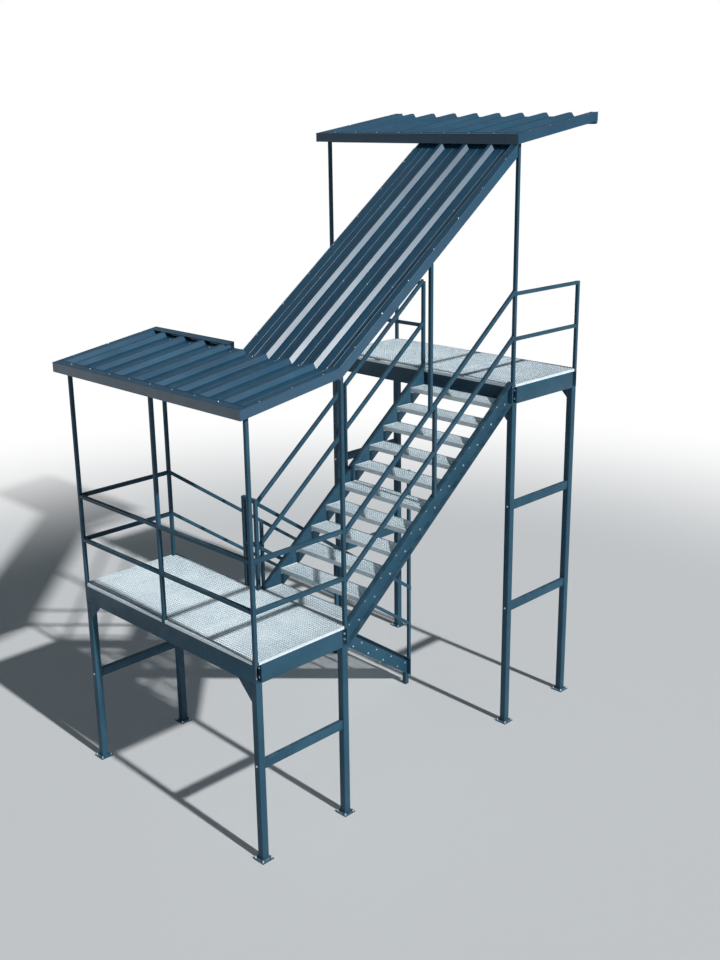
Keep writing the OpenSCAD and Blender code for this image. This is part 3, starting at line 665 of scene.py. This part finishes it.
def panel_bars(low, high, holes, sizes):
    """Bars of a landing's grating panel, by part. Each hole is cut out with bars around it."""
    t, top = sizes.frame_thickness, high.z
    bearing, cross, edge = [], [], []
    for x in evenly(low.x + t, high.x - t, sizes.pitch):
        cuts = [(y0 - t, y1 + t) for x0, x1, y0, y1 in holes if x0 - t < x < x1 + t]
        bearing += [("y", x, a, b, top) for a, b in gaps_cut(low.y + t, high.y - t, cuts)]
    for y in evenly(low.y + t, high.y - t, sizes.pitch):
        cuts = [(x0 - t, x1 + t) for x0, x1, y0, y1 in holes if y0 - t < y < y1 + t]
        cross += [("x", y, a, b, top - CROSS_DROP)
                  for a, b in gaps_cut(low.x + t, high.x - t, cuts)]
    for y, side in ((low.y + t / 2, low.y), (high.y - t / 2, high.y)):
        cuts = [(x0, x1) for x0, x1, y0, y1 in holes if y0 - MM < side < y1 + MM]
        edge += [("x", y, a, b, top) for a, b in gaps_cut(low.x, high.x, cuts)]
    for x, side in ((low.x + t / 2, low.x), (high.x - t / 2, high.x)):
        cuts = [(y0, y1) for x0, x1, y0, y1 in holes if x0 - MM < side < x1 + MM]
        edge += [("y", x, a, b, top) for a, b in gaps_cut(low.y + t, high.y - t, cuts)]
    for x0, x1, y0, y1 in holes:
        left, right = max(x0 - t, low.x), min(x1 + t, high.x)
        front, back = max(y0 - t, low.y), min(y1 + t, high.y)
        if right - left < SLIVER or back - front < SLIVER:
            continue
        edge += [("x", y, left, right, top - CUT_OUT_DROP)
                 for y in (y0 - t / 2, y1 + t / 2) if low.y < y < high.y]
        edge += [("y", x, front, back, top - CUT_OUT_DROP)
                 for x in (x0 - t / 2, x1 + t / 2) if low.x < x < high.x]
    return {"bearing_bars": bearing, "cross_bars": cross, "edge_bars": edge}


def tread_bars(low, high, side, sizes):
    """Bars and plates of a tread, by part. Its nose is on the side towards +Y (1) or -Y (-1)."""
    plate, t, top = TREAD_PLATE, sizes.frame_thickness, high.z
    x0, x1 = low.x + plate, high.x - plate
    nose, rear = (high.y, low.y) if side > 0 else (low.y, high.y)
    inner = nose - side * sizes.nosing_width
    y0, y1 = sorted((inner, rear + side * t))
    front, back = low.y + (plate if side < 0 else 0), high.y - (plate if side > 0 else 0)
    return {
        "bearing_bars": [("x", y, x0, x1, top) for y in evenly(y0, y1, sizes.pitch)],
        "cross_bars": [("y", x, y0, y1, top - CROSS_DROP) for x in evenly(x0, x1, sizes.pitch)],
        "edge_bars": [("x", rear + side * t / 2, x0, x1, top),
                      ("x", inner + side * t / 2, x0, x1, top - sizes.nosing_thickness)],
        "nose_plates": [("x", nose - side * plate / 2, low.x, high.x, top)],
        "nosings": [("x", (nose - side * plate + inner) / 2, low.x, high.x, top)],
        "end_plates": [("y", x, front, back, top - END_DROP)
                       for x in (low.x + plate / 2, high.x - plate / 2)],
    }


def button_places(low, high, side, sizes):
    """Places of the buttons on a tread's nosing, in two staggered rows."""
    nose = high.y if side > 0 else low.y
    return [(x + (row - 0.5) * sizes.button_pitch / 2, nose - side * sizes.nosing_width * share,
             high.z - BUTTON_SINK)
            for row, share in enumerate(BUTTON_ROWS)
            for x in evenly(low.x + TREAD_PLATE, high.x - TREAD_PLATE, sizes.button_pitch)]


def fasten(name, spots, slot, **sizes):
    """Makes fasteners of one kind, for a list of places and of the ways they face."""
    mesh = points(name, [place for place, _ in spots], facing=[facing for _, facing in spots])
    grow(hexagon_fasteners, name, mesh, material(zinc_plated_steel), slot, **sizes)


def tread_spots():
    """Spots of the bolts outside the stringers' webs, and of the nuts inside the end plates."""
    bolts, nuts = [], []
    for low, high in (box for node in ("lower_treads", "upper_treads") for box in solids(node)):
        middle, z = (low.y + high.y) / 2, high.z - TREAD_BOLT_DROP
        for y in (middle - TREAD_BOLT_SIDE, middle + TREAD_BOLT_SIDE):
            for x, way in ((low.x, -1), (high.x, 1)):
                bolts.append(((x + way * WEB, y, z), (way, 0, 0)))
                nuts.append(((x - way * TREAD_PLATE, y, z), (-way, 0, 0)))
    return bolts, nuts


def frame_spots():
    """Spots of the bolts of the side beams, of the cross rails on the columns' far faces, and of
    the stringers on the inner faces of the landing beams' webs."""
    spots = []
    for low, high in solids("side_beams"):
        x = (low.x + high.x) / 2
        for share in BEAM_BOLTS:
            z = low.z + share * (high.z - low.z)
            spots += [((x, low.y, z), (0, -1, 0)), ((x, high.y, z), (0, 1, 0))]
    for low, high in solids("cross_rails"):
        x, z = (low.x + high.x) / 2, (low.z + high.z) / 2
        spots += [((x, low.y - COLUMN_WIDTH, z), (0, -1, 0)),
                  ((x, high.y + COLUMN_WIDTH, z), (0, 1, 0))]
    for beam, side, flight in (("lower_back_beam", -1, "lower_stringers"),
                               ("lower_back_beam", -1, "upper_stringers"),
                               ("upper_front_beam", 1, "upper_stringers")):
        low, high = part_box(beam)
        y = high.y - WEB if side < 0 else low.y + WEB
        spots += [(((left.x + right.x) / 2, y, low.z + share * (high.z - low.z)), (0, side, 0))
                  for left, right in solids(flight) for share in STRINGER_BOLTS]
    return spots


def anchor_spots():
    """Spots of the four anchors on each base plate."""
    return [(((low.x + high.x) / 2 + sx * ANCHOR_OFFSET, (low.y + high.y) / 2 + sy * ANCHOR_OFFSET,
              high.z), (0, 0, 1))
            for low, high in solids("base_plates") for sx in (-1, 1) for sy in (-1, 1)]


class RoofSheet:
    """A roof sheet's slope along Y, the heights of its rib tops and of its valleys where Y is 0,
    and the middles of its ribs and valleys, all read from the CAD solid."""

    def __init__(self, node):
        form = merged(node)
        a, b = (v.co for v in max(form.edges, key=lambda e: e.calc_length()).verts)
        self.slope = (b.z - a.z) / (b.y - a.y)
        levels = sorted({round(v.co.z - self.slope * v.co.y, 4) for v in form.verts})
        self.crest = levels[-1]
        under_crest = max(v for v in levels if self.crest - v > MM)
        self.valley = levels[0] + self.crest - under_crest
        xs = sorted({round(v.co.x, 4) for v in form.verts
                     if abs(v.co.z - self.slope * v.co.y - self.crest) < 0.3 * MM})
        form.free()
        tops = list(zip(xs[::2], xs[1::2]))
        self.ribs = [(a + b) / 2 for a, b in tops if b - a < WIDEST_RIB]
        half = (self.ribs[1] - self.ribs[0]) / 2
        self.valleys = [x for x in (self.ribs[0] - half, *(rib + half for rib in self.ribs))
                        if not any(a - VALLEY_ROOM < x < b + VALLEY_ROOM for a, b in tops)]
        self.facing = tuple(Vector((0, -self.slope, 1)).normalized())

    def spot(self, x, y, level):
        """A fastener's place on the sheet and the way it faces."""
        return (x, y, level + self.slope * y), self.facing


def sheet_details():
    """Spots of the screws on the roof sheets, and the lines of the swages in their valleys."""
    spots, swages = [], []
    for node, bearers in ROOF_BEARERS.items():
        roof = RoofSheet(node)
        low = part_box(node)[0]
        rows = [(a.y + b.y) / 2 for name in bearers for a, b in solids(name)]
        on_stair = node == "stair_roof_sheet"
        if on_stair:
            rows.append(low.y + FOOT_SCREW)
        for x in roof.valleys:
            start, end = reach(node, x)
            spots += [roof.spot(x, y, roof.valley) for y in rows if start < y < end]
            swages.append([(x, y, roof.valley - SHEET + roof.slope * y) for y in (start, end)])
        if not on_stair:
            spots += [roof.spot(x, low.y + FRONT_SCREW, roof.crest + SHEET) for x in roof.ribs]
    return spots, swages


def flashing_details(spacing):
    """Spots of the screws along the side flashings, and the lines of all flashings' hems."""
    spots, hems = [], []
    for node in FLASHING_NODES:
        for places in corners(node):
            size = places.max(0) - places.min(0)
            across = 0 if size[1] > size[0] else 1
            for side in (places[:, across].min(), places[:, across].max()):
                hems.append(edge_line(places, across, side))
            if across:
                continue
            outer = places[np.argmax(abs(places[:, 0])), 0]
            if node == "stair_roof_flashings" and places[:, 0].max() < 1:
                outer = places[:, 0].min()
            inward = EDGE_SCREW * (1 if outer == places[:, 0].min() else -1)
            (_, y0, z0), (_, y1, z1) = edge_line(places, 0, outer)
            slope = (z1 - z0) / (y1 - y0)
            facing = tuple(Vector((0, -slope, 1)).normalized())
            spots += [((outer + inward, y, z0 + slope * (y - y0)), facing)
                      for y in evenly(y0 + ROW_START, y1, spacing)]
    return spots, hems


def seen(tree, gloss_share):
    """1 to the camera and through clear things, a given share to rays that leave gloss."""
    rays = add(tree, "ShaderNodeLightPath").outputs
    glossy = add(tree, "ShaderNodeMath", {0: rays["Is Glossy Ray"], 1: gloss_share},
                 operation="MULTIPLY")
    either = add(tree, "ShaderNodeMath", {0: rays["Is Camera Ray"], 1: glossy},
                 operation="MAXIMUM")
    return add(tree, "ShaderNodeMath", {0: either, 1: rays["Is Transmission Ray"]},
               operation="MAXIMUM")


def set_floor(setup):
    """A plain painted floor near the stair, which turns white to the camera further out."""
    mesh = bpy.data.meshes.new("floor")
    form = bmesh.new()
    bmesh.ops.create_circle(form, cap_ends=True, radius=FLOOR_RADIUS, segments=96)
    form.to_mesh(mesh)
    form.free()
    floor = linked("floor", mesh)
    paint, tree = new_material("studio_floor")
    mesh.materials.append(paint)
    place = add(tree, "ShaderNodeTexCoord").outputs["Object"]
    far = add(tree, "ShaderNodeVectorMath", {0: place}, operation="LENGTH").outputs["Value"]
    fade = add(tree, "ShaderNodeMapRange", {"Value": far, "From Min": FLOOR_FADE[0],
                                            "From Max": FLOOR_FADE[1]},
               interpolation_type="SMOOTHSTEP")
    white = add(tree, "ShaderNodeMath", {0: fade, 1: seen(tree, 1.0)}, operation="MULTIPLY")
    matt = add(tree, "ShaderNodeBsdfDiffuse", {"Color": rgba(setup.floor)})
    glow = add(tree, "ShaderNodeEmission", {"Color": WHITE, "Strength": 1.0})
    mix = add(tree, "ShaderNodeMixShader", {0: white, 1: matt, 2: glow})
    add(tree, "ShaderNodeOutputMaterial", {0: mix})


def set_key_light(setup):
    """One soft-edged key light from the right-hand side."""
    lamp = bpy.data.lights.new("key_light", "SUN")
    lamp.energy = setup.sun_strength
    lamp.angle = setup.sun_size
    key = linked("key_light", lamp)
    up, side = setup.sun_height, -setup.sun_side
    towards = Vector((math.cos(up) * math.cos(side), math.cos(up) * math.sin(side),
                      math.sin(up)))
    key.rotation_euler = towards.to_track_quat("Z", "Y").to_euler()


def set_backdrop(setup):
    """A white backdrop to the camera, and a soft pale light from all sides to the stair."""
    world = bpy.data.worlds.new("studio")
    bpy.context.scene.world = world
    world.use_nodes = True
    tree = world.node_tree
    tree.nodes.clear()
    soft = add(tree, "ShaderNodeBackground", {"Color": SKY, "Strength": setup.sky_strength})
    clear = add(tree, "ShaderNodeBackground", {"Color": WHITE, "Strength": 1.0})
    mix = add(tree, "ShaderNodeMixShader", {0: seen(tree, setup.reflected_backdrop), 1: soft,
                                            2: clear})
    add(tree, "ShaderNodeOutputWorld", {0: mix})


def set_camera(setup):
    """The camera, placed by its turn, tilt and roll."""
    lens = bpy.data.cameras.new("camera")
    lens.lens = setup.lens
    lens.sensor_width = 36
    lens.sensor_fit = "AUTO"
    lens.shift_x, lens.shift_y = PICTURE_SHIFT
    lens.clip_end = 200
    camera = linked("camera", lens)
    turn, tilt, roll = setup.camera_turn, setup.camera_tilt, setup.camera_roll
    forward = Vector((-math.sin(turn) * math.cos(tilt), math.cos(turn) * math.cos(tilt),
                      -math.sin(tilt)))
    right = Vector((math.cos(turn), math.sin(turn), 0))
    above = right.cross(forward)
    right, above = (right * math.cos(roll) + above * math.sin(roll),
                    above * math.cos(roll) - right * math.sin(roll))
    pose = Matrix((right, above, -forward)).transposed().to_4x4()
    pose.translation = Vector(setup.camera_place)
    camera.matrix_world = pose
    bpy.context.scene.camera = camera


class STAIR_OT_frame(bpy.types.Operator):
    """Rounds the edges of the columns, beams, stringers, rails and posts, and paints them"""
    bl_idname = "stair.frame"
    bl_label = "Painted frame"
    bl_options = {"REGISTER", "UNDO"}

    def execute(self, context):
        paint = material(powder_coated_steel)
        for nodes, width, segments in ROUNDINGS:
            for node in nodes:
                rounded_copy(node, node + "_steel", width, segments, paint)
        rounded_copy("base_plates", "base_plates_steel", *PLATE_ROUNDING,
                     material(powder_coated_steel_dusty))
        loops = [loop for node in WELDED_NODES for loop in end_loops(node)]
        beads("weld_beads", loops, context.scene.stair_fasteners.weld / 2, paint, "frame_paint")
        return {"FINISHED"}


class STAIR_OT_decks(bpy.types.Operator):
    """Makes the gratings of both landings, cut out around the posts"""
    bl_idname = "stair.decks"
    bl_label = "Landing gratings"
    bl_options = {"REGISTER", "UNDO"}

    def execute(self, context):
        sizes = context.scene.stair_gratings
        gap = sizes.post_clearance
        for node, neighbours in (("lower_deck", ("lower_landing_posts",)),
                                 ("upper_deck", ("upper_landing_posts", "upper_stringers"))):
            holes = [(low.x - gap, high.x + gap, low.y - gap, high.y + gap)
                     for name in neighbours for low, high in solids(name)]
            panels = [panel_bars(low, high, holes, sizes) for low, high in solids(node)]
            low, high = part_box(node)
            depth = high.z - low.z
            put_bars(node, panels, {"bearing_bars": (sizes.bar_thickness, depth),
                                    "cross_bars": (sizes.cross_thickness, sizes.cross_height),
                                    "edge_bars": (sizes.frame_thickness, depth)})
        return {"FINISHED"}


class STAIR_OT_treads(bpy.types.Operator):
    """Makes the grating treads of both flights, with their nosings and end plates"""
    bl_idname = "stair.treads"
    bl_label = "Treads"
    bl_options = {"REGISTER", "UNDO"}

    def execute(self, context):
        sizes = context.scene.stair_gratings
        sections = {"bearing_bars": (sizes.bar_thickness, TREAD_GRATING),
                    "cross_bars": (sizes.cross_thickness, sizes.cross_height),
                    "edge_bars": (sizes.frame_thickness, TREAD_GRATING - sizes.nosing_thickness),
                    "nose_plates": (TREAD_PLATE, NOSE_PLATE_HEIGHT),
                    "nosings": (sizes.nosing_width - TREAD_PLATE, sizes.nosing_thickness),
                    "end_plates": (TREAD_PLATE, END_PLATE_HEIGHT)}
        for node, side in (("lower_treads", 1), ("upper_treads", -1)):
            treads = solids(node)
            put_bars(node, [tread_bars(*box, side, sizes) for box in treads], sections)
            name = f"{node}_buttons"
            places = [place for box in treads for place in button_places(*box, side, sizes)]
            grow(raised_buttons, name, points(name, places), material(galvanised_steel),
                 "galvanised_grating", node, width=sizes.button_width, height=BUTTON_HEIGHT)
        return {"FINISHED"}


class STAIR_OT_bolts(bpy.types.Operator):
    """Bolts the treads, the beams and the cross rails, and anchors the base plates"""
    bl_idname = "stair.bolts"
    bl_label = "Bolts and anchors"
    bl_options = {"REGISTER", "UNDO"}

    def execute(self, context):
        sizes = context.scene.stair_fasteners
        widths = {"head_width": sizes.bolt_head, "washer_width": sizes.bolt_washer}
        bolts, nuts = tread_spots()
        fasten("tread_bolts", bolts, "galvanised_grating", **widths, **BOLT)
        fasten("tread_nuts", nuts, "galvanised_grating", **widths, **NUT)
        fasten("frame_bolts", frame_spots(), "frame_paint", **widths, **BOLT)
        fasten("anchors", anchor_spots(), "frame_paint", head_width=sizes.anchor_nut,
               washer_width=sizes.bolt_washer, rod_width=sizes.anchor_rod, **ANCHOR)
        return {"FINISHED"}


class STAIR_OT_roofs(bpy.types.Operator):
    """Coats the roof sheets and flashings and sets their screws"""
    bl_idname = "stair.roofs"
    bl_label = "Roof sheets and screws"
    bl_options = {"REGISTER", "UNDO"}

    def execute(self, context):
        sizes = context.scene.stair_fasteners
        coat = material(coil_coated_sheet)
        for node in SHEET_NODES + FLASHING_NODES:
            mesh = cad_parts[node].data
            mesh.materials.clear()
            mesh.materials.append(coat)
        sheet_spots, swages = sheet_details()
        beads("roof_swages", swages, sizes.swage / 2, coat, "roof_sheet")
        flashing_spots, hems = flashing_details(sizes.screw_spacing)
        beads("flashing_hems", hems, sizes.hem / 2, coat, "roof_sheet")
        fasten("roof_screws", sheet_spots + flashing_spots, "roof_sheet",
               head_width=sizes.screw_head, washer_width=sizes.screw_washer, **SCREW)
        return {"FINISHED"}


class STAIR_OT_stage(bpy.types.Operator):
    """Sets the floor, the light and the camera"""
    bl_idname = "stair.stage"
    bl_label = "Stage"
    bl_options = {"REGISTER", "UNDO"}

    def execute(self, context):
        setup = context.scene.stair_stage
        set_floor(setup)
        set_key_light(setup)
        set_backdrop(setup)
        set_camera(setup)
        context.scene.view_settings.view_transform = "Standard"
        return {"FINISHED"}


class STAIR_PT_panel(bpy.types.Panel):
    """Lists the stair's sizes, colours and pieces"""
    bl_idname = "STAIR_PT_panel"
    bl_label = "Fire escape stair"
    bl_space_type = "VIEW_3D"
    bl_region_type = "UI"
    bl_category = "Stair"

    def draw(self, context):
        for key in GROUPS:
            group = getattr(context.scene, key)
            box = self.layout.box()
            for name in group.__annotations__:
                box.prop(group, name)
        for operator in OPERATORS:
            self.layout.operator(operator.bl_idname)


GROUPS = {"stair_gratings": GratingSizes, "stair_fasteners": FastenerSizes,
          "stair_colours": FinishColours, "stair_stage": StageSetup}
OPERATORS = (STAIR_OT_frame, STAIR_OT_decks, STAIR_OT_treads, STAIR_OT_bolts, STAIR_OT_roofs,
             STAIR_OT_stage)
CLASSES = (*GROUPS.values(), *OPERATORS, STAIR_PT_panel)


def register():
    for cls in CLASSES:
        bpy.utils.register_class(cls)
    for name, cls in GROUPS.items():
        setattr(bpy.types.Scene, name, PointerProperty(type=cls))


def unregister():
    for name in GROUPS:
        delattr(bpy.types.Scene, name)
    for cls in reversed(CLASSES):
        bpy.utils.unregister_class(cls)


def main():
    """Makes every piece in order."""
    register()
    bpy.ops.stair.frame()
    bpy.ops.stair.decks()
    bpy.ops.stair.treads()
    bpy.ops.stair.bolts()
    bpy.ops.stair.roofs()
    bpy.ops.stair.stage()


if __name__ == "__main__":
    main()
